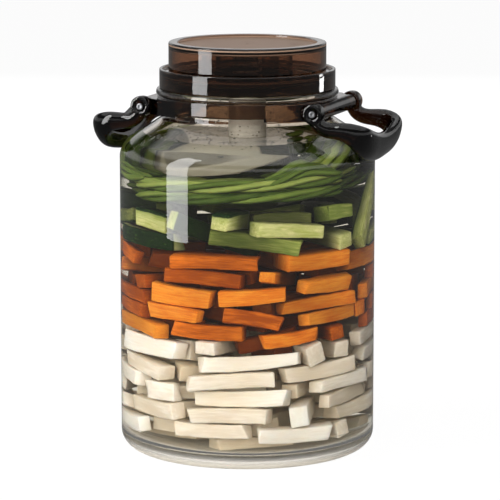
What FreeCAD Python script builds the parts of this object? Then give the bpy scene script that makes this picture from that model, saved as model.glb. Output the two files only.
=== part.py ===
import FreeCAD, Part
import math
import os
import random
from FreeCAD import Matrix, Rotation, Vector

# Glass fermentation jar with an airlock lid, a sprung press plate and two swing handles,
# filled with layers of vegetable sticks. Millimetres, +Z up, handles on the X axis.
# The origin is the centre of the foot.

# Roundings shared by the mouldings, and how far a cutting shape stands past what it cuts
fine_round = 0.4
edge_round = 0.6
soft_round = 1.2
hollow_round = 2.0
over = 1.0

# Glass jar
body_radius = 85.0
glass_wall = 4.0
base_thickness = 6.0
base_corner = 19.5
foot_lift = 2.5
foot_width = 4.0
shoulder_height = 204.2
shoulder_slope = 33.0
shoulder_round = 14.0
neck_round = 3.0
inner_neck_round = 8.0
bead_round = 1.3
bead_taper = 1.0
foot_round = 0.8
shoulder_width = 29.0
neck_length = 15.0
finish_step = 6.5
bead_reach = 5.0
bead_thickness = 3.8
finish_wall = 3.5
finish_length = 7.7

# Neck band and its hinge barrels
band_fit = 0.05
band_thickness = 3.8
band_height = 10.3
band_drop = 0.2
barrel_radius = 5.2
barrel_half = 33.5
barrel_reach = 0.3
barrel_drop = 6.8
lug_angle = 59.0
lug_swing_gap = 0.6

# Handles
eye_radius = 6.8
eye_thickness = 8.2
eye_gap = 0.5
eye_round = 1.0
barrel_clearing = 12.0

# Hinge pins
pin_radius = 2.0
pin_depth = 10.0
pin_fit = 0.02
pin_end_gap = 0.5
pin_running_gap = 0.08
pin_head_radius = 3.0
pin_head_height = 1.2
pin_recess_radius = 3.5
pin_recess_depth = 1.7

# Screw lid with the water trough and the gas tower
thread_room = 3.2
skirt_wall = 2.2
skirt_gap = 0.3
seal_thickness = 1.5
seal_width = 5.0
seal_set_back = 0.4
seat_gap = 0.05
deck_thickness = 1.8
deck_lip = 1.8
trough_gap = 1.0
trough_wall = 2.2
trough_depth = 13.0
trough_floor = 2.0
tower_radius = 21.0
tower_wall = 2.1
tower_gap = 1.9
vent_width = 4.0
vent_height = 5.0
vent_count = 4
boss_gap = 0.4
boss_wall = 1.6
boss_length = 2.5

# Airlock cap
cap_overhang = 2.8
cap_wall = 2.2
cap_height = 19.35
cap_recess = 1.7
cap_plate = 2.2
cap_rim = 6.0
cap_draft = 0.4
bell_radius = 30.0
bell_wall = 2.0
bell_gap = 1.3
bell_notch = 3.0
cap_notch_width = 6.0
cap_notch_height = 1.5
notch_count = 6

# Press: guide bush, tube, spring and plate
guide_flange = 1.6
guide_reach = 1.9
guide_height = 7.7
guide_vent = 1.3
guide_vent_count = 6
sleeve_radius = 12.6
sleeve_wall = 1.3
sleeve_floor = 1.6
sleeve_gap = 0.3
sleeve_lip_reach = 2.3
sleeve_lip = 2.0
spring_wire = 0.8
spring_gap = 1.3
spring_turns = 13
spring_end_gap = 0.2
plate_drop = 8.2
plate_gap = 1.0
plate_thickness = 2.4
plate_rim_height = 4.0
plate_rim_width = 2.0
plate_rim_drop = 1.0
plate_tilt = 8.0
plate_tilt_azimuth = 20.8
plate_hole_radius = 7.5
plate_hole_inset = 16.5
plate_hole_count = 8
plate_bleed_radius = 2.2
plate_bleed_ring = 20.5
peg_radius = 2.6
peg_head_radius = 5.2
peg_head_height = 2.0
peg_play = 1.6
peg_lift = 0.2

# Vegetables
wall_gap = 0.5
stick_gap = 0.35
zucchini_drop = 32.2
zucchini_depth = 30.0
carrot_depth = 56.0
layer_mixing = 18.0
ring_step = 17.0
# Where long green sticks stand on end against the wall: azimuth, half width, rise above the layer
steep_sectors = [(8.0, 14.0, 20.0), (-155.0, 10.0, 8.0)]
sector_margin = 13.0
bean_radius = 3.5
bean_gap = 0.5
pod_end_round = 0.8
bean_tilt = 2.5
bean_levels = 4
# Where an upper level of the coil is open in front, so that the press plate shows: azimuth, half width
open_front = {2: (-92.5, 19.5), 3: (-98.5, 43.5)}
last_start = -28.0
last_span = 130.0
tip_length = 12.0
tip_lean = 72.0
tip_heading = 62.0

# Heights and radii that follow from the sizes above
half_turn = 180.0
neck_radius = body_radius - shoulder_width
mouth_radius = neck_radius - finish_step
cap_radius = mouth_radius + cap_overhang
plate_height = shoulder_height - plate_drop
zucchini_top = shoulder_height - zucchini_drop
carrot_top = zucchini_top - zucchini_depth
radish_top = carrot_top - carrot_depth
bean_pitch = 2 * bean_radius + bean_gap
outer_pod_radius = body_radius - glass_wall - wall_gap - bean_radius - bean_gap
slope = math.radians(shoulder_slope)
neck_foot = shoulder_height + (body_radius - neck_radius) * math.tan(slope)
bead_foot = neck_foot + neck_length
bead_top = bead_foot + bead_thickness
rim_top = bead_top + finish_length
finish_radius = mouth_radius + finish_wall
base_top = foot_lift + base_thickness
inner_radius = body_radius - glass_wall
inner_shoulder = shoulder_height - glass_wall * (1 / math.cos(slope) - math.tan(slope))
inner_neck = inner_shoulder + (inner_radius - mouth_radius) * math.tan(slope)
inner_corner = base_corner - glass_wall

band_inner = neck_radius + band_fit
band_outer = band_inner + band_thickness
band_top = bead_foot - band_drop
band_foot = band_top - band_height
hinge_height = band_top - barrel_drop
hinge_reach = band_outer + barrel_reach
eye_inner = barrel_half + eye_gap
eye_outer = eye_inner + eye_thickness
eye_middle = (eye_inner + eye_outer) / 2

skirt_foot = bead_top + skirt_gap
skirt_inner = finish_radius + thread_room
skirt_outer = skirt_inner + skirt_wall
seal_foot = rim_top + seat_gap
deck_foot = seal_foot + seal_thickness + seat_gap
deck_top = deck_foot + deck_thickness
trough_outer = mouth_radius - trough_gap
trough_inner = trough_outer - trough_wall
trough_top = deck_top - trough_depth
trough_foot = trough_top - trough_floor
cap_foot = deck_top + seat_gap
cap_top = cap_foot + cap_height
cap_under = cap_top - cap_recess - cap_plate
tower_top = cap_under - tower_gap
tower_bore = tower_radius - tower_wall
tower_ceiling = tower_top - tower_wall

guide_top = trough_foot + guide_height - guide_flange
sleeve_top = guide_top + sleeve_gap + sleeve_lip
plate_radius = mouth_radius - plate_gap
plate_hole_ring = plate_radius - plate_hole_inset
tilt_rise = math.tan(math.radians(plate_tilt))
sleeve_foot = plate_height + sleeve_radius * tilt_rise + sleeve_gap
sleeve_seat = sleeve_foot + sleeve_floor


# Helpers

def rounded_corner(before, corner, after, rounding):
    """Tangent points and middle of the arc that rounds a corner, as large as its legs allow."""
    back = (before - corner).normalize()
    ahead = (after - corner).normalize()
    half = back.getAngle(ahead) / 2
    legs = min((before - corner).Length, (after - corner).Length)
    radius = min(rounding, 0.49 * legs * math.tan(half))
    reach = radius / math.tan(half)
    bisector = (back + ahead).normalize()
    middle = corner + bisector * (radius / math.sin(half) - radius)
    return corner + back * reach, middle, corner + ahead * reach


def outline(corners):
    """Closed face in the XZ plane from (radius, height, rounding) corners."""
    points = [Vector(r, 0, z) for r, z, rounding in corners]
    edges = []
    starts = []
    for i, (r, z, rounding) in enumerate(corners):
        if rounding > 0:
            before, after = points[i - 1], points[(i + 1) % len(points)]
            first, middle, last = rounded_corner(before, points[i], after, rounding)
            starts.append((first, last, Part.Arc(first, middle, last).toShape()))
        else:
            starts.append((points[i], points[i], None))
    for i, (first, last, arc) in enumerate(starts):
        if arc:
            edges.append(arc)
        edges.append(Part.LineSegment(last, starts[(i + 1) % len(starts)][0]).toShape())
    return Part.Face(Part.Wire(edges))


def turned(corners):
    """Solid of revolution about the Z axis."""
    return outline(corners).revolve(Vector(0, 0, 0), Vector(0, 0, 1), 360)


def disc(radius, foot, top, x=0.0):
    """Upright cylinder between two heights."""
    return Part.makeCylinder(radius, top - foot, Vector(x, 0, foot))


def tube(outer, inner, foot, top):
    """Upright tube between two heights."""
    return disc(outer, foot, top).cut(disc(inner, foot - over, top + over))


def cross_bar(radius, start, end, x, z):
    """Cylinder along the Y axis between two places."""
    return Part.makeCylinder(radius, end - start, Vector(x, start, z), Vector(0, 1, 0))


def around(shape, count, phase=0.0):
    """Copies of a shape, evenly spaced about the Z axis."""
    turns = [phase + 360.0 * i / count for i in range(count)]
    return [shape.rotated(Vector(0, 0, 0), Vector(0, 0, 1), turn) for turn in turns]


def either_side(side, near, far):
    """The span between two distances along Y, at the front (-1) or the rear (1), lowest end first."""
    return sorted((side * near, side * far))


def mirrored_side(shape):
    """The same shape on the other side of the jar."""
    return shape.mirror(Vector(0, 0, 0), Vector(1, 0, 0))


# Glass jar

def glass_jar():
    rim_round = 0.45 * finish_wall
    foot_outer = body_radius - base_corner
    return turned([
        (0, foot_lift, 0),
        (foot_outer - foot_width - foot_lift, foot_lift, foot_lift / 2),
        (foot_outer - foot_width, 0, foot_round),
        (body_radius, 0, base_corner),
        (body_radius, shoulder_height, shoulder_round),
        (neck_radius, neck_foot, neck_round),
        (neck_radius, bead_foot, band_drop),
        (neck_radius + bead_reach, bead_foot, bead_round),
        (neck_radius + bead_reach - bead_taper, bead_top, bead_round),
        (finish_radius, bead_top, edge_round),
        (finish_radius, rim_top, rim_round),
        (mouth_radius, rim_top, rim_round),
        (mouth_radius, inner_neck, inner_neck_round),
        (inner_radius, inner_shoulder, shoulder_round - glass_wall),
        (inner_radius, base_top, inner_corner),
        (0, base_top, 0),
    ])


# Neck band with a hinge barrel on each side

def hinge_lug():
    """Barrel and its two tangent wings on the +X side."""
    angle = math.radians(lug_angle)
    start = Vector(band_outer * math.cos(angle), band_outer * math.sin(angle), 0)
    run = (start.y - barrel_half) / math.cos(angle)
    end_x = start.x + run * math.sin(angle)
    foot = hinge_height - barrel_radius
    plan = [
        Vector(start.x, start.y, foot), Vector(end_x, barrel_half, foot),
        Vector(end_x, -barrel_half, foot), Vector(start.x, -start.y, foot),
    ]
    wing = Part.Face(Part.makePolygon(plan + plan[:1])).extrude(Vector(0, 0, 2 * barrel_radius))
    barrel = cross_bar(barrel_radius, -barrel_half, barrel_half, hinge_reach, hinge_height)
    lug = wing.fuse(barrel)
    pocket = eye_radius + lug_swing_gap
    for side in (-1, 1):
        near, far = either_side(side, barrel_half, start.y + over)
        lug = lug.cut(cross_bar(pocket, near, far, hinge_reach, hinge_height))
        near, far = either_side(side, barrel_half - pin_depth, barrel_half + over)
        lug = lug.cut(cross_bar(pin_radius + pin_fit, near, far, hinge_reach, hinge_height))
    return lug


def neck_band():
    ring = turned([
        (band_inner, band_foot, fine_round), (band_outer, band_foot, soft_round),
        (band_outer, band_top, soft_round), (band_inner, band_top, fine_round),
    ])
    lug = hinge_lug()
    band = ring.fuse([lug, mirrored_side(lug)])
    hole = disc(band_inner, band_foot - barrel_radius, band_top + barrel_radius)
    return band.cut(hole).removeSplitter()


# Handles

# Stations of the handle's centre line from the front eye to the middle of the grip:
# reach beyond the hinge axis, place along the axis, drop below it,
# half thickness, half height, and lean of the section's top away from the jar in degrees.
handle_stations = [
    (0.5, 1.0, 1.6, 4.0, 4.6, 0),
    (2.8, 1.0, 6.4, 4.0, 5.0, 0),
    (8.0, 1.0, 9.6, 4.2, 5.2, 0),
    (15.0, 1.0, 10.4, 4.4, 5.6, 0),
    (23.0, 1.0, 11.4, 4.8, 6.8, 4),
    (29.8, 0.93, 14.8, 5.0, 8.6, 12),
    (32.2, 0.72, 19.2, 5.2, 9.8, 20),
    (32.0, 0.36, 22.8, 5.4, 10.2, 24),
    (31.8, 0.0, 24.0, 5.4, 10.4, 26),
]


def grip_section(place, tangent, half_thickness, half_height, lean):
    """Closed oval wire across the handle's centre line."""
    outward = tangent.cross(Vector(0, 0, 1)).normalize()
    upward = outward.cross(tangent).normalize()
    turn = math.radians(lean)
    tall = upward * math.cos(turn) + outward * math.sin(turn)
    wide = outward * math.cos(turn) - upward * math.sin(turn)
    around_oval = [math.radians(30 * i) for i in range(12)]
    points = [
        place + wide * (half_thickness * math.cos(a)) + tall * (half_height * math.sin(a))
        for a in around_oval
    ]
    curve = Part.BSplineCurve()
    curve.interpolate(Points=points, PeriodicFlag=True)
    return Part.Wire(curve.toShape())


def handle():
    """Right handle: two eyes, two S-shaped arms and the grip between them, as one moulding."""
    hinge = Vector(hinge_reach, 0, hinge_height)
    halfway = len(handle_stations) - 1
    stations = handle_stations + handle_stations[:halfway][::-1]
    places = []
    for i, (reach, along, drop, half_thickness, half_height, lean) in enumerate(stations):
        side = -1 if i <= halfway else 1
        places.append(hinge + Vector(reach, side * along * eye_middle, -drop))
    sections = []
    for i, (reach, along, drop, half_thickness, half_height, lean) in enumerate(stations):
        before, after = places[max(i - 1, 0)], places[min(i + 1, len(places) - 1)]
        tangent = (after - before).normalize()
        sections.append(grip_section(places[i], tangent, half_thickness, half_height, lean))
    bail = Part.makeLoft(sections, True, False)
    for side in (-1, 1):
        near, far = either_side(side, eye_inner, eye_outer)
        eye = cross_bar(eye_radius, near, far, hinge_reach, hinge_height)
        rims = [edge for edge in eye.Edges if isinstance(edge.Curve, Part.Circle)]
        bail = bail.fuse(eye.makeFillet(eye_round, rims))
    for side in (-1, 1):
        near, far = either_side(side, eye_inner - over, eye_outer + over)
        bail = bail.cut(cross_bar(pin_radius + pin_running_gap, near, far, hinge_reach, hinge_height))
        near, far = either_side(side, eye_outer - pin_recess_depth, eye_outer + over)
        bail = bail.cut(cross_bar(pin_recess_radius, near, far, hinge_reach, hinge_height))
        near, far = either_side(side, eye_inner - barrel_clearing, eye_inner)
        bail = bail.cut(cross_bar(eye_radius + lug_swing_gap, near, far, hinge_reach, hinge_height))
    return bail


def hinge_pin(side):
    """Headed pin from the eye's recess into the barrel's end, at the front (-1) or the rear (1)."""
    head_foot = eye_outer - pin_recess_depth + seat_gap
    inner_end = barrel_half - pin_depth + pin_end_gap
    near, far = either_side(side, inner_end, head_foot + pin_head_height / 2)
    shank = cross_bar(pin_radius, near, far, hinge_reach, hinge_height)
    near, far = either_side(side, head_foot, head_foot + pin_head_height)
    head = cross_bar(pin_head_radius, near, far, hinge_reach, hinge_height)
    return shank.fuse(head)


# Lid, seal and cap

def screw_lid():
    shell = turned([
        (skirt_inner, skirt_foot, fine_round), (skirt_outer, skirt_foot, edge_round),
        (skirt_outer, deck_top + deck_lip, edge_round),
        (skirt_outer - skirt_wall, deck_top + deck_lip, edge_round),
        (skirt_outer - skirt_wall, deck_top, fine_round), (trough_inner, deck_top, edge_round),
        (trough_inner, trough_top, hollow_round), (tower_radius, trough_top, hollow_round),
        (tower_radius, tower_top, soft_round), (0, tower_top, 0), (0, tower_ceiling, 0),
        (tower_bore, tower_ceiling, edge_round), (tower_bore, trough_foot, fine_round),
        (trough_outer, trough_foot, soft_round), (trough_outer, deck_foot, fine_round),
        (skirt_inner, deck_foot, fine_round),
    ])
    vent = Part.makeBox(2 * tower_wall + 2 * over, vent_width, vent_height)
    vent.translate(Vector(tower_bore - 2 * over, -vent_width / 2, tower_ceiling - vent_height))
    shell = shell.cut(around(vent, vent_count, half_turn / vent_count))
    spring_bore = sleeve_radius - sleeve_wall - spring_gap - 2 * spring_wire
    boss_radius = spring_bore - boss_gap
    boss = tube(boss_radius, boss_radius - boss_wall, tower_ceiling - boss_length, tower_ceiling)
    return shell.fuse(boss)


def lid_seal():
    inner = mouth_radius + seal_set_back
    outer = inner + seal_width
    top = seal_foot + seal_thickness
    return turned([
        (inner, seal_foot, fine_round), (outer, seal_foot, fine_round),
        (outer, top, fine_round), (inner, top, fine_round),
    ])


def airlock_cap():
    bell_foot = trough_top + bell_gap
    bell_bore = bell_radius - bell_wall
    cap_bore = cap_radius - cap_wall
    recess_radius = cap_radius - cap_rim
    shell = turned([
        (0, cap_under, 0), (bell_bore, cap_under, edge_round), (bell_bore, bell_foot, edge_round),
        (bell_radius, bell_foot, edge_round), (bell_radius, cap_under, edge_round),
        (cap_bore, cap_under, soft_round), (cap_bore, cap_foot, edge_round),
        (cap_radius, cap_foot, edge_round), (cap_radius, cap_top, soft_round),
        (recess_radius, cap_top, edge_round),
        (recess_radius - cap_draft, cap_top - cap_recess, fine_round), (0, cap_top - cap_recess, 0),
    ])
    notch = Part.makeBox(3 * bell_wall, bell_notch, 2 * bell_notch)
    notch.translate(Vector(bell_radius - 2 * bell_wall, -bell_notch / 2, bell_foot - bell_notch))
    slot = Part.makeBox(3 * cap_wall, cap_notch_width, 2 * cap_notch_height)
    slot.translate(Vector(cap_radius - 2 * cap_wall, -cap_notch_width / 2, cap_foot - cap_notch_height))
    return shell.cut(around(notch, notch_count) + around(slot, notch_count, half_turn / notch_count))


# Press

def press_guide():
    bore = sleeve_radius + sleeve_gap
    outer = tower_bore - band_fit
    flange_foot = trough_foot - guide_flange
    flange_top = trough_foot - seat_gap
    flange_radius = tower_bore + guide_reach
    bush = turned([
        (bore, flange_foot, fine_round), (flange_radius, flange_foot, fine_round),
        (flange_radius, flange_top, fine_round), (outer, flange_top, 0),
        (outer, guide_top, edge_round), (bore, guide_top, edge_round),
    ])
    vent = disc(guide_vent, flange_foot - over, guide_top + over, (bore + outer) / 2)
    return bush.cut(around(vent, guide_vent_count, half_turn / guide_vent_count))


def press_sleeve():
    bore = sleeve_radius - sleeve_wall
    hole = peg_radius + peg_play
    lip_foot = sleeve_top - sleeve_lip
    lip_radius = sleeve_radius + sleeve_lip_reach
    return turned([
        (hole, sleeve_foot, fine_round), (sleeve_radius, sleeve_foot, edge_round),
        (sleeve_radius, lip_foot, fine_round), (lip_radius, lip_foot, fine_round),
        (lip_radius, sleeve_top, fine_round), (bore, sleeve_top, fine_round),
        (bore, sleeve_seat, fine_round), (hole, sleeve_seat, fine_round),
    ])


def press_spring():
    mean = sleeve_radius - sleeve_wall - spring_gap - spring_wire
    foot = sleeve_seat + spring_wire + spring_end_gap
    height = tower_ceiling - spring_wire - spring_end_gap - foot
    path = Part.makeHelix(height / spring_turns, height, mean)
    path.translate(Vector(0, 0, foot))
    section = Part.Wire(Part.makeCircle(spring_wire, Vector(mean, 0, foot), Vector(0, 1, 0)))
    return Part.Wire(path.Edges).makePipeShell([section], True, True)


def press_plate():
    rim_foot = -plate_thickness - plate_rim_drop
    rim_crest = rim_foot + plate_rim_height
    rim_bore = plate_radius - plate_rim_width
    plate = turned([
        (0, -plate_thickness, 0), (rim_bore, -plate_thickness, fine_round),
        (rim_bore, rim_foot, fine_round), (plate_radius, rim_foot, edge_round),
        (plate_radius, rim_crest, edge_round), (rim_bore, rim_crest, fine_round),
        (rim_bore, 0, fine_round), (0, 0, 0),
    ])
    hole = disc(plate_hole_radius, -2 * plate_thickness, plate_thickness, plate_hole_ring)
    bleed = disc(plate_bleed_radius, -2 * plate_thickness, plate_thickness, plate_bleed_ring)
    holes = around(hole, plate_hole_count)
    bleeds = around(bleed, plate_hole_count, half_turn / plate_hole_count)
    plate = plate.cut(holes + bleeds)
    head_foot = sleeve_seat - plate_height + peg_head_radius * tilt_rise + peg_lift
    plate = plate.fuse([
        disc(peg_radius, -plate_thickness / 2, head_foot + peg_head_height / 2),
        disc(peg_head_radius, head_foot, head_foot + peg_head_height),
    ])
    # The plate stands higher on the side that the tilt's azimuth names.
    turn = math.radians(plate_tilt_azimuth)
    axis = Vector(math.sin(turn), -math.cos(turn), 0)
    plate.rotate(Vector(0, 0, 0), axis, plate_tilt)
    plate.translate(Vector(0, 0, plate_height))
    return plate


# Vegetable sticks, dropped one by one and left where they first come to rest

class Stick:
    """Straight stick with a square-cut section: its middle, three directions and half sizes."""

    def __init__(self, middle, directions, halves):
        self.middle = middle
        self.directions = directions
        self.halves = halves
        self.edges = [tuple(h * part for part in d) for h, d in zip(halves, directions)]
        self.reach = math.sqrt(dot(halves, halves))

    def corners(self):
        a, b, c = self.edges
        return [
            tuple(m + i * u + j * v + k * w for m, u, v, w in zip(self.middle, a, b, c))
            for i in (-1, 1) for j in (-1, 1) for k in (-1, 1)
        ]

    def top(self):
        return self.middle[2] + sum(abs(edge[2]) for edge in self.edges)

    def azimuth(self):
        return math.degrees(math.atan2(self.middle[1], self.middle[0]))

    def near(self, other, room):
        gap = [a - b for a, b in zip(self.middle, other.middle)]
        return dot(gap, gap) < (self.reach + other.reach + room) ** 2

    def raised(self, lift):
        x, y, z = self.middle
        return Stick((x, y, z + lift), self.directions, self.halves)

    def spread(self, axis):
        a, b, c = self.edges
        return abs(dot(axis, a)) + abs(dot(axis, b)) + abs(dot(axis, c))

    def solid(self):
        long, wide, thick = self.halves
        box = Part.makeBox(2 * long, 2 * wide, 2 * thick, Vector(-long, -wide, -thick))
        (a, b, c), (d, e, f), (g, h, i) = self.directions
        x, y, z = self.middle
        return box.transformed(Matrix(a, d, g, x, b, e, h, y, c, f, i, z, 0, 0, 0, 1), True)


def cross(a, b):
    return (a[1] * b[2] - a[2] * b[1], a[2] * b[0] - a[0] * b[2], a[0] * b[1] - a[1] * b[0])


def dot(a, b):
    return a[0] * b[0] + a[1] * b[1] + a[2] * b[2]


def blocked_span(stick, other):
    """Lowest and highest lift of a stick at which it would meet another one, or None."""
    gap_x = stick.middle[0] - other.middle[0]
    gap_y = stick.middle[1] - other.middle[1]
    room = stick.reach + other.reach
    if gap_x * gap_x + gap_y * gap_y > room * room:
        return None
    offset = (gap_x, gap_y, stick.middle[2] - other.middle[2])
    low, high = -1e9, 1e9
    own, others = stick.directions, other.directions
    axes = (*own, *others, *(cross(a, b) for a in own for b in others))
    for axis in axes:
        length = math.sqrt(dot(axis, axis))
        if length < 1e-3:
            continue
        reach = stick_gap * length + stick.spread(axis) + other.spread(axis)
        distance = dot(axis, offset)
        rise = axis[2]
        if abs(rise) < 1e-6 * length:
            if abs(distance) >= reach:
                return None
            continue
        middle, half = -distance / rise, reach / abs(rise)
        low, high = max(low, middle - half), min(high, middle + half)
        if low >= high:
            return None
    return low, high


def floor_under(radius):
    """Height of the jar's inner floor at a radius, up its rounded corner."""
    flat = inner_radius - inner_corner
    if radius <= flat:
        return base_top + wall_gap
    run = min(radius - flat, inner_corner - wall_gap)
    return base_top + wall_gap + inner_corner - math.sqrt(inner_corner ** 2 - run ** 2)


def turned_by(azimuth, other):
    """Angle between two azimuths, in degrees."""
    return abs((azimuth - other + 180) % 360 - 180)


def thrown_stick(chance, kind, ring, share, layer_foot, steep):
    """Stick of a kind against the wall (ring 0) or further in, level with its layer's foot."""
    halves = [chance.uniform(*span) / 2 for span in kind["size"]]
    halves[0] *= share
    azimuth = chance.uniform(-180, 180)
    if steep:
        sector, half, rise = chance.choice(steep_sectors)
        azimuth = sector + chance.uniform(-half, half)
    heading = chance.gauss(0, 8 if ring == 0 else 40)
    if ring == 0 and not steep and chance.random() < kind["end_on"]:
        heading = chance.uniform(50, 90)
    tilt = chance.uniform(48, 74) if steep else chance.gauss(0, kind["tilt"])
    turn = Rotation(Vector(0, 0, 1), 90 + heading)
    lean = Rotation(Vector(0, 1, 0), tilt * chance.choice((-1, 1)))
    spin = Rotation(Vector(1, 0, 0), chance.gauss(0, 8))
    pose = turn.multiply(lean).multiply(spin)
    local = [pose.multVec(v) for v in (Vector(1, 0, 0), Vector(0, 1, 0), Vector(0, 0, 1))]
    corners = Stick((0, 0, 0), [tuple(v) for v in local], halves).corners()
    limit = inner_radius - wall_gap
    against_wall = min(math.sqrt(limit ** 2 - v ** 2) - u for u, v, w in corners)
    distance = against_wall - ring * ring_step * chance.uniform(0.8, 1.1) - chance.uniform(0, 1.2)
    about = Rotation(Vector(0, 0, 1), azimuth)
    directions = [tuple(about.multVec(v)) for v in local]
    foot = min(w for u, v, w in corners)
    place = math.radians(azimuth)
    middle = (distance * math.cos(place), distance * math.sin(place), layer_foot - foot)
    return Stick(middle, directions, halves)


def settled(stick, placed):
    """The stick at the lowest free height above its start, clear of the floor and the others."""
    lift = max(0.0, max(floor_under(math.hypot(x, y)) - z for x, y, z in stick.corners()))
    below = stick.middle[2] - stick.reach
    near = (other for other in placed if other.middle[2] + other.reach > below)
    spans = sorted(span for span in (blocked_span(stick, other) for other in near) if span)
    for low, high in spans:
        if low < lift < high:
            lift = high + 1e-4
    return stick.raised(lift)


def touches(stick, others):
    """Whether a stick meets the jar or another stick where it is."""
    for x, y, z in stick.corners():
        radius = math.hypot(x, y)
        if radius > inner_radius - wall_gap or z < floor_under(radius):
            return True
    spans = (blocked_span(stick, other) for other in others)
    return any(span and span[0] < 0 < span[1] for span in spans)


def grown(chance, stick, kind, placed):
    """The stick with each face moved outwards in steps while it finds room there."""
    near = [other for other in placed if other is not stick and other.near(stick, 12)]
    faces = [(axis, side) for axis in range(3) for side in (-1, 1)]
    chance.shuffle(faces)
    for axis, side in faces:
        step = 2.0 if axis == 0 else 0.8
        for i in range(4):
            halves = list(stick.halves)
            halves[axis] += step / 2
            shift = [side * step / 2 * part for part in stick.directions[axis]]
            middle = tuple(m + move for m, move in zip(stick.middle, shift))
            larger = Stick(middle, stick.directions, halves)
            too_large = 2 * halves[axis] > kind["largest"][axis]
            if too_large or larger.top() > kind["top_of"](larger) or touches(larger, near):
                break
            stick = larger
    return stick


def pour(chance, kind, foot, placed):
    """One layer of sticks, each the lowest of its throws, until none fits below the layer's top."""
    # Each round: ring, share of the full length, throws for each stick,
    # and how many sticks in a row may find no room before the round ends
    rounds = [
        (0, 1.0, 20, 4), (0, 0.55, 16, 4), (1, 1.0, 9, 4), (1, 0.6, 7, 4), (2, 0.9, 5, 3), (3, 0.8, 4, 2),
    ]
    steep_first = [(0, 1.0, 10, 5)] if kind["steep"] else []
    start = len(placed)
    for number, (ring, share, throws, patience) in enumerate(steep_first + rounds):
        steep = kind["steep"] and number == 0
        misses = 0
        while misses < patience:
            thrown = [thrown_stick(chance, kind, ring, share, foot, steep) for i in range(throws)]
            tries = [settled(stick, placed) for stick in thrown]
            best = min(tries, key=Stick.top)
            if best.top() > kind["top_of"](best):
                misses += 1
            else:
                placed.append(best)
    for i in range(start, len(placed)):
        placed[i] = grown(chance, placed[i], kind, placed)
    return placed[start:]


def extra_rise(stick):
    """How far a green stick may stand above its layer's top, where the pods leave it room."""
    inner_face = math.hypot(stick.middle[0], stick.middle[1]) - max(stick.halves[1:])
    if inner_face < outer_pod_radius - 2 * bean_pitch + bean_radius + bean_gap:
        return 0.0
    corners = [math.degrees(math.atan2(y, x)) for x, y, z in stick.corners()]
    for azimuth, half, rise in steep_sectors:
        if all(turned_by(corner, azimuth) < half + sector_margin - 1 for corner in corners):
            return rise
    return 0.0


def vegetable_layers():
    kinds = {
        "radish_sticks": {
            "size": ((44, 60), (10, 12), (9, 11)), "largest": (64, 14, 13), "tilt": 4, "end_on": 0.08,
            "steep": False, "top_of": lambda stick: radish_top,
        },
        "carrot_sticks": {
            "size": ((38, 56), (9, 11), (8.5, 10)), "largest": (60, 13, 12), "tilt": 8, "end_on": 0.12,
            "steep": False, "top_of": lambda stick: carrot_top,
        },
        "zucchini_sticks": {
            "size": ((44, 60), (10, 12), (9, 10.5)), "largest": (64, 14, 12), "tilt": 11, "end_on": 0.06,
            "steep": True, "top_of": lambda stick: zucchini_top + extra_rise(stick),
        },
    }
    chance = random.Random(7)
    placed = []
    layers = {}
    foot = base_top
    for name, kind in kinds.items():
        layers[name] = pour(chance, kind, foot, placed)
        foot = max(stick.top() for stick in layers[name]) - layer_mixing
    return layers


# Long beans, coiled round the jar above the sticks

def bean(radius, height, start, span):
    """One pod: an arc about the jar's axis with round ends, before the coil is tilted."""
    circle = Part.makeCircle(bean_radius, Vector(radius, 0, height), Vector(0, 1, 0))
    section = Part.Face(Part.Wire(circle))
    pod = section.revolve(Vector(0, 0, 0), Vector(0, 0, 1), span)
    circles = [edge for edge in pod.Edges if isinstance(edge.Curve, Part.Circle)]
    ends = [edge for edge in circles if edge.Length < 7 * bean_radius]
    pod = pod.makeFillet(pod_end_round * bean_radius, ends)
    return pod.rotated(Vector(0, 0, 0), Vector(0, 0, 1), start)


def free_arcs(chance, level, row):
    """Start and span of each pod on one circle, which stop at upright sticks and the open front."""
    rise = level * bean_pitch
    stops = [(a, half) for a, half, top in steep_sectors if row < 2 and rise < top]
    if level in open_front:
        stops.append(open_front[level])
    if not stops:
        free = chance.uniform(20, 60)
        return [(chance.uniform(0, 360), 360 - free)]
    stops.sort()
    arcs = []
    for i, (azimuth, half) in enumerate(stops):
        following, next_half = stops[(i + 1) % len(stops)]
        start = azimuth + half + sector_margin
        end = following - next_half - sector_margin
        arcs.append((start, (end - start) % 360))
    return arcs


def roof_over(radius):
    """Highest level at which the middle of a pod clears the sloped shoulder."""
    clear = (bean_radius + wall_gap) / math.cos(slope)
    return inner_shoulder + (inner_radius - radius) * math.tan(slope) - clear


def pod_tip(start, pod_radius, height):
    """Short straight end of a pod that rises inwards from where another pod ends."""
    tip = disc(bean_radius, 0, tip_length)
    tip = tip.makeFillet(pod_end_round * bean_radius, [tip.Edges[0], tip.Edges[2]])
    tip.translate(Vector(0, 0, bean_radius + bean_gap))
    tip.rotate(Vector(0, 0, 0), Vector(0, 1, 0), -tip_lean)
    tip.rotate(Vector(0, 0, 0), Vector(0, 0, 1), tip_heading)
    tip.translate(Vector(pod_radius, bean_radius, height))
    tip.rotate(Vector(0, 0, 0), Vector(0, 0, 1), start)
    return tip


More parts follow.
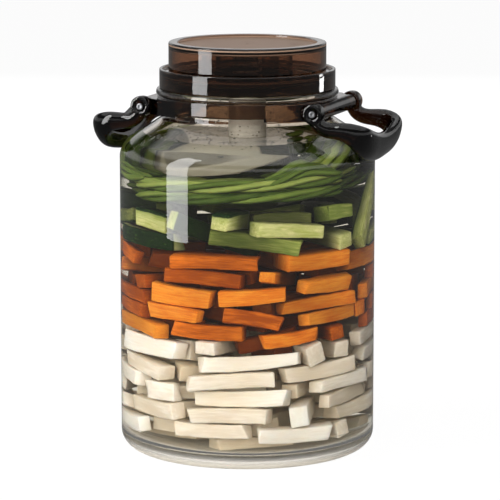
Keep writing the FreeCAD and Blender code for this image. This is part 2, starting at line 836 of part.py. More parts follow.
def long_beans():
    chance = random.Random(3)
    tilt_share = math.tan(math.radians(bean_tilt))
    first_level = zucchini_top + bean_radius + outer_pod_radius * tilt_share + stick_gap
    pods = []
    for level in range(bean_levels):
        height = first_level + level * bean_pitch
        for row in range(4 if level else 9):
            radius = outer_pod_radius - row * bean_pitch
            if radius < 3 * bean_radius or height + radius * tilt_share > roof_over(radius):
                continue
            for start, span in free_arcs(chance, level, row):
                pods.append(bean(radius, height, start, span))
    # A last pod lies on the right of the coil, and a pod's end stands up beside the press plate.
    top_height = first_level + bean_levels * bean_pitch
    last_radius = plate_radius + 3 * bean_radius
    pods.append(bean(last_radius, top_height, last_start, last_span))
    pods.append(pod_tip(last_start, last_radius, top_height))
    turn = math.radians(plate_tilt_azimuth)
    coil = Part.makeCompound(pods)
    coil.rotate(Vector(0, 0, first_level), Vector(math.sin(turn), -math.cos(turn), 0), bean_tilt)
    return coil


# The whole jar

def main():
    os.makedirs("parts", exist_ok=True)
    right = handle()
    nodes = {
        "glass_jar": glass_jar(),
        "neck_band": neck_band(),
        "handle_right": right,
        "handle_left": mirrored_side(right),
        "screw_lid": screw_lid(),
        "lid_seal": lid_seal(),
        "airlock_cap": airlock_cap(),
        "press_guide": press_guide(),
        "press_sleeve": press_sleeve(),
        "press_spring": press_spring(),
        "press_plate": press_plate(),
        "long_beans": long_beans(),
    }
    for place, side in (("front", -1), ("rear", 1)):
        pin = hinge_pin(side)
        nodes["hinge_pin_right_" + place] = pin
        nodes["hinge_pin_left_" + place] = mirrored_side(pin)
    for name, sticks in vegetable_layers().items():
        nodes[name] = Part.makeCompound([stick.solid() for stick in sticks])
    for name, shape in nodes.items():
        shape.exportStep("parts/" + name + ".step")


main()
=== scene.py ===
"""Looks of a glass fermentation jar with an airlock lid, a press and layers of vegetables.

Metres, +Z up, the foot on the ground plane and the handles along the X axis.
"""

import logging
import math
import random
from dataclasses import dataclass, field
from typing import Callable, Iterable, Optional, Sequence, Union

import bmesh
import bpy
from mathutils import Matrix, Vector, noise


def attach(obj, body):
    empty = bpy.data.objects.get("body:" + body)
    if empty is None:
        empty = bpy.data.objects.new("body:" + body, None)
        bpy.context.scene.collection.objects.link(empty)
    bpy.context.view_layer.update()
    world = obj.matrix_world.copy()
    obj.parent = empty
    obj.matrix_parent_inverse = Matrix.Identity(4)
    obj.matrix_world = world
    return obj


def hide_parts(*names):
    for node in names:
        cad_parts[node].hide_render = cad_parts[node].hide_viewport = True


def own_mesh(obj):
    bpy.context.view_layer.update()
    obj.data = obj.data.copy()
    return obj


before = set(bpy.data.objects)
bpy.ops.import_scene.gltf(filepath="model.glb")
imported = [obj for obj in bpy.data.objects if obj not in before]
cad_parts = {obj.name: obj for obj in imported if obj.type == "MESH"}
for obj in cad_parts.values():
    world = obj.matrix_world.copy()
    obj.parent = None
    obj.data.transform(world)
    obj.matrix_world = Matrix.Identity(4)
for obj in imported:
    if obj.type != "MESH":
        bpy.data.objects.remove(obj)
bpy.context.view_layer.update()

log = logging.getLogger("fermentation_jar")

MM = 0.001
WELD = 1e-6
NOISE_SEED = 7
SHOULDER_SLOPE = math.radians(33)
Corner = tuple[float, float, float]
Colour = tuple[float, float, float]
Shape = bmesh.types.BMesh
Vert = bmesh.types.BMVert
Socket = bpy.types.NodeSocket
Value = Union[Socket, float, Colour]
NODES: dict[str, bpy.types.Object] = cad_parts
FINISHES: dict[str, bpy.types.Material] = {}


def linear(hex_colour: str) -> Colour:
    """Turn a screen colour into the linear colour that shaders take.

    Args:
        hex_colour: Six hexadecimal digits, red first.

    Returns:
        The three linear channels.
    """
    channels = [int(hex_colour[i:i + 2], 16) / 255 for i in (0, 2, 4)]
    return tuple(c / 12.92 if c <= 0.04045 else ((c + 0.055) / 1.055) ** 2.4 for c in channels)


# Node trees of the finishes

class Tree:
    """A node tree and short ways to put nodes into it."""

    def __init__(self, owner: Union[bpy.types.Material, bpy.types.World]) -> None:
        """Start an empty tree with an output.

        Args:
            owner: New material or world.
        """
        owner.use_nodes = True
        self.owner = owner
        self.nodes, self.links = owner.node_tree.nodes, owner.node_tree.links
        self.nodes.clear()
        kind = "World" if isinstance(owner, bpy.types.World) else "Material"
        self.output = self.add("Output" + kind)

    def add(self, kind: str, settings: Optional[dict] = None, **sockets: Value) -> bpy.types.Node:
        """Add a node, set its properties and fill or link its inputs.

        Args:
            kind: Type of the node without its common prefix.
            settings: Properties of the node itself.
            sockets: Inputs by name, with _ for a space.

        Returns:
            The node.
        """
        node = self.nodes.new("ShaderNode" + kind)
        for name, value in (settings or {}).items():
            setattr(node, name, value)
        for name, value in sockets.items():
            self.plug(node.inputs[name.replace("_", " ")], value)
        return node

    def plug(self, socket: Socket, value: Value) -> None:
        """Link an output to a socket, or set the socket's own value.

        Args:
            socket: The input.
            value: What goes into it.
        """
        if isinstance(value, Socket):
            self.links.new(value, socket)
        elif isinstance(value, tuple) and len(value) == 3 and socket.type == "RGBA":
            socket.default_value = (*value, 1.0)
        else:
            socket.default_value = value

    def place(self, scale: Sequence[float] = (1, 1, 1), attribute: str = "") -> Socket:
        """Coordinates for a pattern, from the object or from one of its attributes.

        Args:
            scale: Stretch along each axis.
            attribute: Name of a vector attribute, or nothing for object coordinates.

        Returns:
            The mapped coordinates.
        """
        if attribute:
            source = self.add("Attribute", {"attribute_name": attribute}).outputs["Vector"]
        else:
            source = self.add("TexCoord").outputs["Object"]
        return self.add("Mapping", Vector=source, Scale=tuple(scale)).outputs["Vector"]

    def level(self) -> Socket:
        """Height above the foot.

        Returns:
            The height.
        """
        return self.add("SeparateXYZ", Vector=self.place()).outputs["Z"]

    def from_axis(self) -> Socket:
        """Distance from the jar's axis.

        Returns:
            The distance.
        """
        return self.add("VectorMath", {"operation": "LENGTH"}, Vector=self.place((1, 1, 0))).outputs["Value"]

    def painted(self, name: str) -> Socket:
        """A number that the piece carries at each point.

        Args:
            name: Name of the attribute.

        Returns:
            The number.
        """
        return self.add("Attribute", {"attribute_name": name}).outputs["Fac"]

    def grain(self, where: Socket, scale: float, detail: float = 3.0, roughness: float = 0.55) -> Socket:
        """Noise as a number.

        Args:
            where: Coordinates.
            scale: Patches in a metre.
            detail: Octaves.
            roughness: Weight of the finer octaves.

        Returns:
            The noise, about 0.5 on average.
        """
        node = self.add("TexNoise", Vector=where, Scale=scale, Detail=detail, Roughness=roughness)
        return node.outputs["Fac"]

    def eased(self, value: Socket, low: float, high: float, top: float = 1.0) -> Socket:
        """Rise smoothly from 0 to a top as a number goes from one value to another.

        Args:
            value: The number.
            low: Where it gives 0.
            high: Where it gives the top.
            top: The top.

        Returns:
            The result.
        """
        return self.add("MapRange", {"interpolation_type": "SMOOTHSTEP"}, Value=value, From_Min=low,
                        From_Max=high, To_Max=top).outputs[0]

    def ramp(self, value: Socket, stops: Sequence[tuple[float, Colour]]) -> Socket:
        """Colours along a number.

        Args:
            value: The number.
            stops: Places from 0 to 1 with their colours.

        Returns:
            The colour.
        """
        node = self.add("ValToRGB", Fac=value)
        elements = node.color_ramp.elements
        while len(elements) < len(stops):
            elements.new(0.5)
        for element, (place, colour) in zip(elements, stops):
            element.position, element.color = place, (*colour, 1.0)
        return node.outputs["Color"]

    def number(self, operation: str, first: Value, second: Value = 0.0, third: Value = 0.0,
               clamp: bool = False) -> Socket:
        """Arithmetic on numbers.

        Args:
            operation: Name of the operation.
            first: First number.
            second: Second number.
            third: Third number.
            clamp: Whether the result is kept between 0 and 1.

        Returns:
            The result.
        """
        node = self.add("Math", {"operation": operation, "use_clamp": clamp})
        for socket, value in zip(node.inputs, (first, second, third)):
            self.plug(socket, value)
        return node.outputs[0]

    def mix(self, share: Value, first: Value, second: Value) -> Socket:
        """Mix two colours or two shaders.

        Args:
            share: Share of the second one.
            first: First colour or shader.
            second: Second colour or shader.

        Returns:
            The mixture.
        """
        shaders = isinstance(first, Socket) and first.type == "SHADER"
        node = self.add("MixShader") if shaders else self.add("Mix", {"data_type": "RGBA"})
        inputs = node.inputs if shaders else (node.inputs["Factor"], *node.inputs[6:8])
        for socket, value in zip(inputs, (share, first, second)):
            self.plug(socket, value)
        return node.outputs[0 if shaders else 2]

    def bump(self, height: Socket, depth: float, strength: float = 1.0) -> Socket:
        """Turn a height into a bent normal.

        Args:
            height: Height from 0 to 1.
            depth: Its depth in metres.
            strength: Share of the effect.

        Returns:
            The normal.
        """
        return self.add("Bump", Height=height, Distance=depth, Strength=strength).outputs["Normal"]

    def finish(self, surface: Socket, volume: Optional[Socket] = None) -> Union[bpy.types.Material, bpy.types.World]:
        """Connect the output.

        Args:
            surface: Surface shader.
            volume: Volume shader.

        Returns:
            The material or world.
        """
        self.plug(self.output.inputs["Surface"], surface)
        if volume:
            self.plug(self.output.inputs["Volume"], volume)
        return self.owner

    def painted_depth_shade(self, colour: Socket, shade_colour: Colour, strength: float, start: float = 78.5 * MM,
               run: float = 16 * MM) -> Socket:
        """Paint shade on what lies further in from the glass, where less light gets between the pieces.

        Args:
            colour: Colour at the glass.
            shade_colour: Colour of the painted shade deep inside.
            strength: Share of it that is reached.
            start: Radius at which it begins.
            run: Distance inwards over which it grows.

        Returns:
            The colour.
        """
        return self.mix(self.eased(self.from_axis(), start, start - run, strength), colour, shade_colour)

    def lets_lamps_through(self, surface: Socket, tint: Colour) -> Socket:
        """Let the lamps shine straight through a clear body.

        Args:
            surface: Its shader.
            tint: Share of the light that passes.

        Returns:
            The shader with its open shadow.
        """
        ray = self.add("LightPath").outputs["Is Shadow Ray"]
        return self.mix(ray, surface, self.add("BsdfTransparent", Color=tint).outputs[0])

    def reflected(self) -> Socket:
        """Whether a ray has been reflected on its way.

        Returns:
            One for such a ray.
        """
        return self.number("GREATER_THAN", self.add("LightPath").outputs["Glossy Depth"], 0.5)

    def shows_white(self) -> Socket:
        """Whether a ray goes from the camera to the background, straight or through clear bodies.

        Returns:
            One for such a ray.
        """
        path = self.add("LightPath").outputs
        unbroken = self.number("LESS_THAN", self.number("ADD", path["Diffuse Depth"], path["Glossy Depth"]), 0.5)
        passing = self.number("MAXIMUM", path["Is Camera Ray"], path["Is Transmission Ray"])
        return self.number("MULTIPLY", unbroken, passing)


@dataclass(frozen=True)
class ClearBody:
    """Glass, water or plastic that light goes through."""

    slot: str
    index: float
    tint: Colour
    shadow: Colour
    smoke: Optional[Colour] = None
    smoke_density: float = 0.0
    ripple: float = 0.0
    ripple_scale: float = 30.0
    gloss: float = 0.5
    rim_tint: Optional[Colour] = None
    rim_from: float = 0.0
    frost: Optional[tuple[float, float, float]] = None
    milk: float = 0.0
    milk_tint: Colour = (1.0, 1.0, 1.0)
    matt_between: Optional[tuple[float, float]] = None
    matt_tint: Colour = (0.5, 0.5, 0.5)
    matt_share: float = 0.55
    matt_roughness: float = 0.3
    mist: Optional[tuple[float, float]] = None
    mist_tint: Colour = (1.0, 1.0, 1.0)
    drop_scale: float = 420.0
    drop_radius: float = 0.30
    drop_depth: float = 1.6 * MM
    drops_above: float = 0.8

    def material(self) -> bpy.types.Material:
        """Build the node tree of the finish.

        Returns:
            The material.
        """
        shader = Tree(bpy.data.materials.new(self.slot))
        level, tint, roughness, clearness = shader.level(), self.tint, 0.0, 1.0
        matt = mist = 0.0
        if self.rim_tint:
            past = shader.number("GREATER_THAN", shader.from_axis(), self.rim_from)
            tint = shader.mix(past, tint, self.rim_tint)
        if self.matt_between:
            low, high = self.matt_between
            matt = shader.number("MULTIPLY", shader.number("GREATER_THAN", level, low),
                                 shader.number("LESS_THAN", level, high))
            roughness = shader.number("MULTIPLY", matt, self.matt_roughness)
        if self.mist:
            mist = shader.eased(level, *self.mist)
            tint = shader.mix(mist, tint, self.mist_tint)
        if self.frost:
            clear_at, frosted_at, frosted = self.frost
            frost = shader.eased(level, clear_at, frosted_at)
            roughness = shader.number("MULTIPLY", frost, frosted)
            clearness = shader.number("MULTIPLY_ADD", frost, -self.milk, 1.0)
            milky = shader.number("MULTIPLY", frost, self.milk, clamp=True)
            tint = shader.mix(milky, tint, self.milk_tint)
        body = shader.add("BsdfPrincipled", Base_Color=tint, Roughness=roughness, IOR=self.index,
                          Transmission_Weight=clearness, Specular_IOR_Level=self.gloss)
        if self.ripple:
            shader.plug(body.inputs["Normal"], self.relief(shader, mist))
        surface, volume = body.outputs[0], None
        if self.matt_between:
            dull = shader.add("BsdfDiffuse", Color=self.matt_tint).outputs[0]
            surface = shader.mix(shader.number("MULTIPLY", matt, self.matt_share), surface, dull)
        if self.smoke:
            volume = shader.add("VolumeAbsorption", Color=self.smoke, Density=self.smoke_density).outputs[0]
        return shader.finish(shader.lets_lamps_through(surface, self.shadow), volume)

    def relief(self, shader: Tree, mist: Value) -> Socket:
        """Slow ripples of the surface, with small drops where it is misted.

        Args:
            shader: The tree being built.
            mist: Share of mist.

        Returns:
            The normal.
        """
        normal = shader.bump(shader.grain(shader.place(), self.ripple_scale, 1.5), self.ripple)
        if not self.mist:
            return normal
        drops = shader.add("TexVoronoi", Vector=shader.place(), Scale=self.drop_scale).outputs
        draw = shader.add("SeparateColor", Color=drops["Color"]).outputs[0]
        few = shader.number("GREATER_THAN", draw, self.drops_above)
        dome = shader.number("SUBTRACT", self.drop_radius, drops["Distance"], clamp=True)
        dome = shader.number("MULTIPLY", shader.number("MULTIPLY", dome, few), mist)
        return shader.add("Bump", Height=dome, Distance=self.drop_depth, Normal=normal).outputs["Normal"]


@dataclass(frozen=True)
class SolidBody:
    """Metal, rubber or opaque plastic with a fine grain."""

    slot: str
    colour: Colour
    darker: Colour
    roughness: float
    metallic: float = 0.0
    grain_scale: float = 400.0
    grain_depth: float = 0.02 * MM
    subsurface: float = 0.0
    transmission: float = 0.0
    band_pitch: float = 0.0
    translucency: float = 0.0

    def material(self) -> bpy.types.Material:
        """Build the node tree of the finish.

        Returns:
            The material.
        """
        shader = Tree(bpy.data.materials.new(self.slot))
        where = shader.place()
        patches = shader.grain(where, self.grain_scale / 12)
        colour = shader.ramp(patches, [(0.3, self.darker), (0.7, self.colour)])
        if self.band_pitch:
            band = shader.number("SINE", shader.number("MULTIPLY", shader.level(), 2 * math.pi / self.band_pitch))
            colour = shader.mix(shader.number("MULTIPLY_ADD", band, 0.3, 0.1, clamp=True), colour, self.darker)
        fine = shader.grain(where, self.grain_scale, 2.0)
        rough = shader.number("MULTIPLY_ADD", fine, 0.12, self.roughness - 0.06)
        body = shader.add("BsdfPrincipled", Base_Color=colour, Metallic=self.metallic, Roughness=rough,
                          Subsurface_Weight=self.subsurface, Transmission_Weight=self.transmission,
                          Normal=shader.bump(fine, self.grain_depth))
        surface = body.outputs[0]
        if self.translucency:
            thin = shader.add("BsdfTranslucent", Color=colour).outputs[0]
            surface = shader.mix(self.translucency, surface, thin)
        return shader.finish(surface)


@dataclass(frozen=True)
class StickFinish:
    """Cut flesh with fibres along the stick, and skin where the cut follows the outside."""

    slot: str
    light: Colour
    middle: Colour
    dark: Colour
    skin: Optional[Colour] = None
    roughness: float = 0.38
    gloss: float = 0.06
    glow: float = 0.06
    glow_depth: float = 2 * MM
    glow_spread: Colour = (1.0, 0.8, 0.6)
    # Colour and share of the painted shade on sticks further in from the glass.
    shade_colour: Colour = (0.01, 0.01, 0.01)
    shade_strength: float = 0.85
    relief: float = 0.4 * MM

    def material(self) -> bpy.types.Material:
        """Build the node tree of the finish.

        Returns:
            The material.
        """
        shader = Tree(bpy.data.materials.new(self.slot + "_flesh"))
        fibres = shader.grain(shader.place((70, 900, 900), "grain"), 1.0, 4.0, 0.6)
        clouds = shader.grain(shader.place((60, 160, 160), "grain"), 1.0, 2.0)
        mixture = shader.number("MULTIPLY_ADD", fibres, 0.5, shader.number("MULTIPLY", clouds, 0.35))
        tone = shader.number("MULTIPLY_ADD", shader.painted("tone"), 0.36, -0.1)
        colour = shader.ramp(shader.number("ADD", mixture, tone),
                             [(0.32, self.dark), (0.52, self.middle), (0.7, self.light)])
        height = fibres
        if self.skin:
            colour, height = self.seeds_and_skin(shader, colour, fibres)
        # Painted shade: sticks further in from the glass are darker.
        colour = shader.painted_depth_shade(colour, self.shade_colour, self.shade_strength)
        body = shader.add("BsdfPrincipled", Base_Color=colour, Roughness=self.roughness,
                          Specular_IOR_Level=self.gloss, Subsurface_Weight=self.glow,
                          Subsurface_Scale=self.glow_depth, Subsurface_Radius=self.glow_spread,
                          Normal=shader.bump(height, self.relief, 0.8))
        return shader.finish(body.outputs[0])

    def seeds_and_skin(self, shader: Tree, colour: Socket, fibres: Socket) -> tuple[Socket, Socket]:
        """Add seeds on the inner faces and skin on the outer one.

        Args:
            shader: The tree being built.
            colour: Colour of the flesh.
            fibres: Height of the flesh.

        Returns:
            The colour and the height.
        """
        cells = shader.add("TexVoronoi", {"feature": "SMOOTH_F1"}, Scale=1.0,
                           Vector=shader.place((110, 300, 300), "grain"))
        seed = shader.number("SUBTRACT", 0.34, cells.outputs["Distance"], clamp=True)
        seed = shader.number("MULTIPLY", seed, 5.0, clamp=True)
        seed = shader.number("MULTIPLY", seed, shader.painted("core_and_underside_shade"))
        colour = shader.mix(shader.number("MULTIPLY", seed, 0.55), colour, linear("e2dfa0"))
        skin = shader.painted("skin")
        under_skin = shader.number("POWER", skin, 3.0)
        colour = shader.mix(shader.number("MULTIPLY", under_skin, 0.9), colour, linear("55792a"))
        specks = shader.grain(shader.place((300, 900, 900), "grain"), 1.0, 3.0)
        green = shader.ramp(specks, [(0.35, self.skin), (0.62, tuple(2.2 * c for c in self.skin)),
                                     (0.78, linear("6f8a3c"))])
        edge = shader.number("MULTIPLY_ADD", fibres, 0.16, shader.number("SUBTRACT", skin, 0.82))
        share = shader.number("MULTIPLY", edge, 16.0, clamp=True)
        return shader.mix(share, colour, green), shader.number("ADD", fibres, seed)


@dataclass(frozen=True)
class PodFinish:
    """Waxy green skin of the long beans."""

    slot: str
    light: Colour
    middle: Colour
    dark: Colour
    # Share and starting radius of the painted shade on pods further in from the glass.
    shade_strength: float = 0.75
    shade_start: float = 73 * MM
    relief: float = 0.3 * MM

    def material(self) -> bpy.types.Material:
        """Build the node tree of the finish.

        Returns:
            The material.
        """
        shader = Tree(bpy.data.materials.new(self.slot + "_skin"))
        streaks = shader.grain(shader.place((90, 900, 900), "grain"), 1.0, 4.0, 0.6)
        patches = shader.grain(shader.place((22, 60, 60), "grain"), 1.0, 2.0)
        mixture = shader.number("MULTIPLY_ADD", patches, 0.5, shader.number("MULTIPLY", streaks, 0.25))
        tone = shader.number("MULTIPLY_ADD", shader.painted("tone"), 0.4, -0.08)
        colour = shader.ramp(shader.number("ADD", mixture, tone),
                             [(0.22, self.dark), (0.5, self.middle), (0.82, self.light)])
        # Painted shade: the lower half of each pod darkens towards its underside.
        underside_shade = shader.number("MULTIPLY_ADD", shader.painted("core_and_underside_shade"), 2.2, -1.1, clamp=True)
        colour = shader.mix(underside_shade, colour, tuple(0.3 * c for c in self.dark))
        # Painted shade: pods further in from the glass are darker.
        colour = shader.painted_depth_shade(colour, tuple(0.15 * c for c in self.dark), self.shade_strength, self.shade_start)
        body = shader.add("BsdfPrincipled", Base_Color=colour, Roughness=0.34, Specular_IOR_Level=0.1,
                          Subsurface_Weight=0.08, Subsurface_Scale=1.5 * MM,
                          Normal=shader.bump(streaks, self.relief, 0.8))
        return shader.finish(body.outputs[0])


def make_finishes() -> None:
    """Build each material once and keep it by the name of its slot."""
    smoky = {"index": 1.5, "smoke": (0.38, 0.206, 0.064), "ripple": 0.1 * MM}
    moulded = {**smoky, "ripple_scale": 70.0, "gloss": 0.4}
    lid = {**moulded, "tint": (0.99, 0.97, 0.94), "shadow": (0.62, 0.5, 0.4), "smoke_density": 150.0}
    finishes = (
        ClearBody("jar_glass", 1.5, (0.955, 0.94, 0.905), (0.96, 0.95, 0.93), ripple=0.05 * MM,
                  ripple_scale=11.0, frost=(11 * MM, 3 * MM, 0.3), milk=0.6, milk_tint=linear("eee2cc"),
                  mist=(208.5 * MM, 212.5 * MM), mist_tint=(0.77, 0.715, 0.64)),
        ClearBody("brine", 1.333, (0.995, 0.995, 0.985), (0.98, 0.98, 0.96), linear("e1dcc4"), 5.0),
        ClearBody("cap_plastic", **lid, rim_tint=(0.50, 0.35, 0.26), rim_from=45 * MM,
                  matt_between=(270.2 * MM, 271.1 * MM), matt_tint=linear("a98a74")),
        ClearBody("lid_plastic", **lid, rim_tint=(0.17, 0.115, 0.082), rim_from=52 * MM),
        ClearBody("band_plastic", **moulded, tint=(0.36, 0.235, 0.15), shadow=(0.5, 0.38, 0.28),
                  smoke_density=160.0),
        ClearBody("handle_plastic", **smoky, tint=(0.92, 0.85, 0.76), shadow=(0.4, 0.3, 0.2),
                  smoke_density=900.0, ripple_scale=120.0),
        SolidBody("press_plastic", linear("dcd8c8"), linear("c4beab"), 0.12, transmission=0.6,
                  translucency=0.25),
        SolidBody("press_tube", linear("fcfcfa"), linear("cfd0ca"), 0.3, band_pitch=3.1 * MM,
                  translucency=0.35),
        SolidBody("seal_rubber", linear("d9d6cf"), linear("c4c0b7"), 0.5, subsurface=0.2),
        SolidBody("spring_steel", linear("c9cbcd"), linear("9fa2a5"), 0.28, metallic=1.0),
        SolidBody("pin_steel", linear("a9aaac"), linear("77797c"), 0.34, metallic=1.0),
        StickFinish("radish", linear("fffcf7"), linear("f8f1e8"), linear("e4d8c8"), glow=0.4,
                    glow_depth=4 * MM, shade_colour=linear("d6c4a6"), shade_strength=0.6),
        StickFinish("carrot", linear("f29b34"), linear("e0771e"), linear("a34c10"), shade_colour=linear("5a2506")),
        StickFinish("zucchini", linear("d6d796"), linear("b0b766"), linear("7a8a40"),
                    skin=linear("0d1f0a"), shade_colour=linear("16220b")),
        PodFinish("bean", linear("a0ad5e"), linear("677c36"), linear("2c4016")),
    )
    for finish in finishes:
        FINISHES[finish.slot] = finish.material()


# Shaping helpers

def as_object(name: str, shape: Shape, material: bpy.types.Material) -> bpy.types.Object:
    """Make an object of a shape and use the shape up.

    Args:
        name: Name of the object.
        shape: The shape.
        material: Its material.

    Returns:
        The object.
    """
    mesh = bpy.data.meshes.new(name)
    shape.to_mesh(mesh)
    shape.free()
    mesh.materials.append(material)
    made = bpy.data.objects.new(name, mesh)
    bpy.context.scene.collection.objects.link(made)
    return made


def new_piece(name: str, shape: Shape, body: str, slot: str, finish: str = "",
              stands_for: Sequence[str] = ()) -> bpy.types.Object:
    """Make a dressed piece of a shape and let it ride on a body.

    Args:
        name: Name of the piece.
        shape: The shape, which is used up.
        body: Body that carries it.
        slot: Material slot of the record.
        finish: Name of the finish, if it isn't the slot's own.
        stands_for: Solid nodes that it replaces.

    Returns:
        The piece.
    """
    piece = as_object(name, shape, FINISHES[finish or slot])
    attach(piece, body)
    if stands_for:
        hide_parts(*stands_for)
    log.info("%s: %d faces on %s", name, len(piece.data.polygons), body)
    return piece


def smooth(shape: Shape, sharp_angle: float = 180.0) -> None:
    """Shade a shape smoothly, with hard edges above an angle.

    Args:
        shape: The shape.
        sharp_angle: Angle in degrees.
    """
    for face in shape.faces:
        face.smooth = True
    for edge in shape.edges:
        edge.smooth = len(edge.link_faces) != 2 or edge.calc_face_angle(0.0) < math.radians(sharp_angle)


def turned(corners: Sequence[Corner], steps: int, segments: int) -> Shape:
    """Closed shape turned about the Z axis from an outline with rounded corners.

    Args:
        corners: Radius, height and rounding of each corner.
        steps: Pieces round the axis.
        segments: Pieces in each rounding.

    Returns:
        The shape.
    """
    shape = bmesh.new()
    points = [Vector((r, 0, z)) for r, z, rounding in corners]
    verts = [shape.verts.new(p) for p in points]
    shape.faces.new(verts)
    for i, (vert, (r, z, rounding)) in enumerate(zip(verts, corners)):
        if rounding > 0:
            before, after = points[i - 1] - points[i], points[(i + 1) % len(points)] - points[i]
            leg = min(rounding / math.tan(before.angle(after) / 2), 0.49 * min(before.length, after.length))
            bmesh.ops.bevel(shape, geom=[vert], offset=leg, offset_type="OFFSET", affect="VERTICES",
                            segments=segments, profile=0.5, material=-1, clamp_overlap=False)
    bmesh.ops.delete(shape, geom=shape.faces[:], context="FACES_ONLY")
    axis = [e for e in shape.edges if all(abs(v.co.x) < WELD / 10 for v in e.verts)]
    bmesh.ops.delete(shape, geom=axis, context="EDGES")
    bmesh.ops.spin(shape, geom=[*shape.verts, *shape.edges], cent=(0, 0, 0), axis=(0, 0, 1), dvec=(0, 0, 0),
                   angle=2 * math.pi, steps=steps, use_merge=True, use_duplicate=False)
    close(shape)
    return shape


def close(shape: Shape, sharp_angle: float = 180.0) -> None:
    """Weld a shape's seams, turn its faces outwards and shade it smoothly.

    Args:
        shape: The shape.
        sharp_angle: Angle in degrees above which an edge stays hard.
    """
    bmesh.ops.remove_doubles(shape, verts=shape.verts[:], dist=WELD)
    bmesh.ops.recalc_face_normals(shape, faces=shape.faces[:])
    smooth(shape, sharp_angle)


def solid_copy(node: str) -> Shape:
    """A solid node's mesh with its doubles merged.

    Args:
        node: Name of the node.

    Returns:
        The copy.
    """
    shape = bmesh.new()
    shape.from_mesh(NODES[node].data)
    bmesh.ops.remove_doubles(shape, verts=shape.verts[:], dist=2 * WELD)
    return shape


def add_to(whole: Shape, shape: Shape) -> None:
    """Put a shape into another one and use it up.

    Args:
        whole: The shape that grows.
        shape: The shape that goes into it.
    """
    scratch = bpy.data.meshes.new("scratch")
    shape.to_mesh(scratch)
    shape.free()
    whole.from_mesh(scratch)
    bpy.data.meshes.remove(scratch)


def islands(shape: Shape) -> Iterable[list[Vert]]:
    """The separate closed pieces of a shape.

    Args:
        shape: The shape.

    Returns:
        The vertices of one piece after another.
    """
    seen: set[Vert] = set()
    for start in shape.verts:
        if start in seen:
            continue
        group, open_ends = [], [start]
        seen.add(start)
        while open_ends:
            vert = open_ends.pop()
            group.append(vert)
            for edge in vert.link_edges:
                other = edge.other_vert(vert)
                if other not in seen:
                    seen.add(other)
                    open_ends.append(other)
        yield group


def add_layers(shape: Shape) -> tuple:
    """Add the attributes that the finishes of the vegetables read.

    Args:
        shape: The shape.

    Returns:
        The layers of grain, tone, skin and core; the core layer also carries the painted shade under the pods.
    """
    layers = shape.verts.layers
    return (layers.float_vector.new("grain"), *(layers.float.new(name) for name in ("tone", "skin", "core_and_underside_shade")))


# The jar and what stands in it

@dataclass
class GlassJar:
    """Thick clear jar with a screw finish."""

    body_radius: float = 85 * MM
    wall: float = 4 * MM
    foot_lift: float = 2.5 * MM
    foot_inner: float = 61.5 * MM
    base_top: float = 8.5 * MM
    base_corner: float = 19.5 * MM
    shoulder_height: float = 204.2 * MM
    inner_shoulder: float = 202.03 * MM
    neck_foot: float = 223.03 * MM
    inner_neck: float = 222.49 * MM
    bead_foot: float = 238.03 * MM
    bead_top: float = 241.83 * MM
    bead_radius: float = 61 * MM
    bead_upper_radius: float = 60 * MM
    rim_top: float = 249.53 * MM
    rim_rounding: float = 1.55 * MM
    neck_radius: float = 56 * MM
    mouth_radius: float = 49.5 * MM
    finish_radius: float = 53 * MM
    thread_pitch: float = 4.2 * MM
    thread_turns: float = 1.25
    thread_start: float = 1.6 * MM
    thread_steps: int = 110

    def build(self) -> None:
        """Make the jar and the screw thread on its finish."""
        outer, mouth, neck, rim = self.body_radius, self.mouth_radius, self.neck_radius, self.rim_rounding
        inner = outer - self.wall
        profile = [
            (0, self.foot_lift, 0), (self.foot_inner - self.foot_lift, self.foot_lift, 1.2 * MM),
            (self.foot_inner, 0, 0.8 * MM), (outer, 0, self.base_corner),
            (outer, self.shoulder_height, 14 * MM), (neck, self.neck_foot, 3 * MM),
            (neck, self.bead_foot, 0.2 * MM), (self.bead_radius, self.bead_foot, 1.3 * MM),
            (self.bead_upper_radius, self.bead_top, 1.3 * MM), (self.finish_radius, self.bead_top, 0.6 * MM),
            (self.finish_radius, self.rim_top, rim), (mouth, self.rim_top, rim),
            (mouth, self.inner_neck, 8 * MM), (inner, self.inner_shoulder, 10 * MM),
            (inner, self.base_top, self.base_corner - self.wall), (0, self.base_top, 0),
        ]
        new_piece("jar_body", turned(profile, 192, 8), "jar", "jar_glass", stands_for=("glass_jar",))
        new_piece("jar_thread", self.thread(), "jar", "jar_glass")

    def thread(self) -> Shape:
        """The raised thread round the finish.

        Returns:
            The shape.
        """
        shape = bmesh.new()
        radius, foot = self.finish_radius - 0.3 * MM, self.bead_top + self.thread_start
        points = ((0, 0), (1.6, 0.5), (2.1, 1.1), (1.6, 1.7), (0, 2.2))
        verts = [shape.verts.new((radius + r * MM, 0, foot + z * MM)) for r, z in points]
        face = shape.faces.new(verts)
        rise = self.thread_pitch * self.thread_turns / self.thread_steps
        made = bmesh.ops.spin(shape, geom=[face], cent=(0, 0, 0), axis=(0, 0, 1), dvec=(0, 0, rise),
                              angle=2 * math.pi * self.thread_turns, steps=self.thread_steps, use_merge=False)
        last = [v for g in made["geom_last"] if isinstance(g, bmesh.types.BMFace) for v in g.verts]
        for vert in (*verts, *last):
            flat = Vector((vert.co.x, vert.co.y, 0)).normalized() * radius
            vert.co.x, vert.co.y = flat.x, flat.y
        close(shape, 50)
        return shape


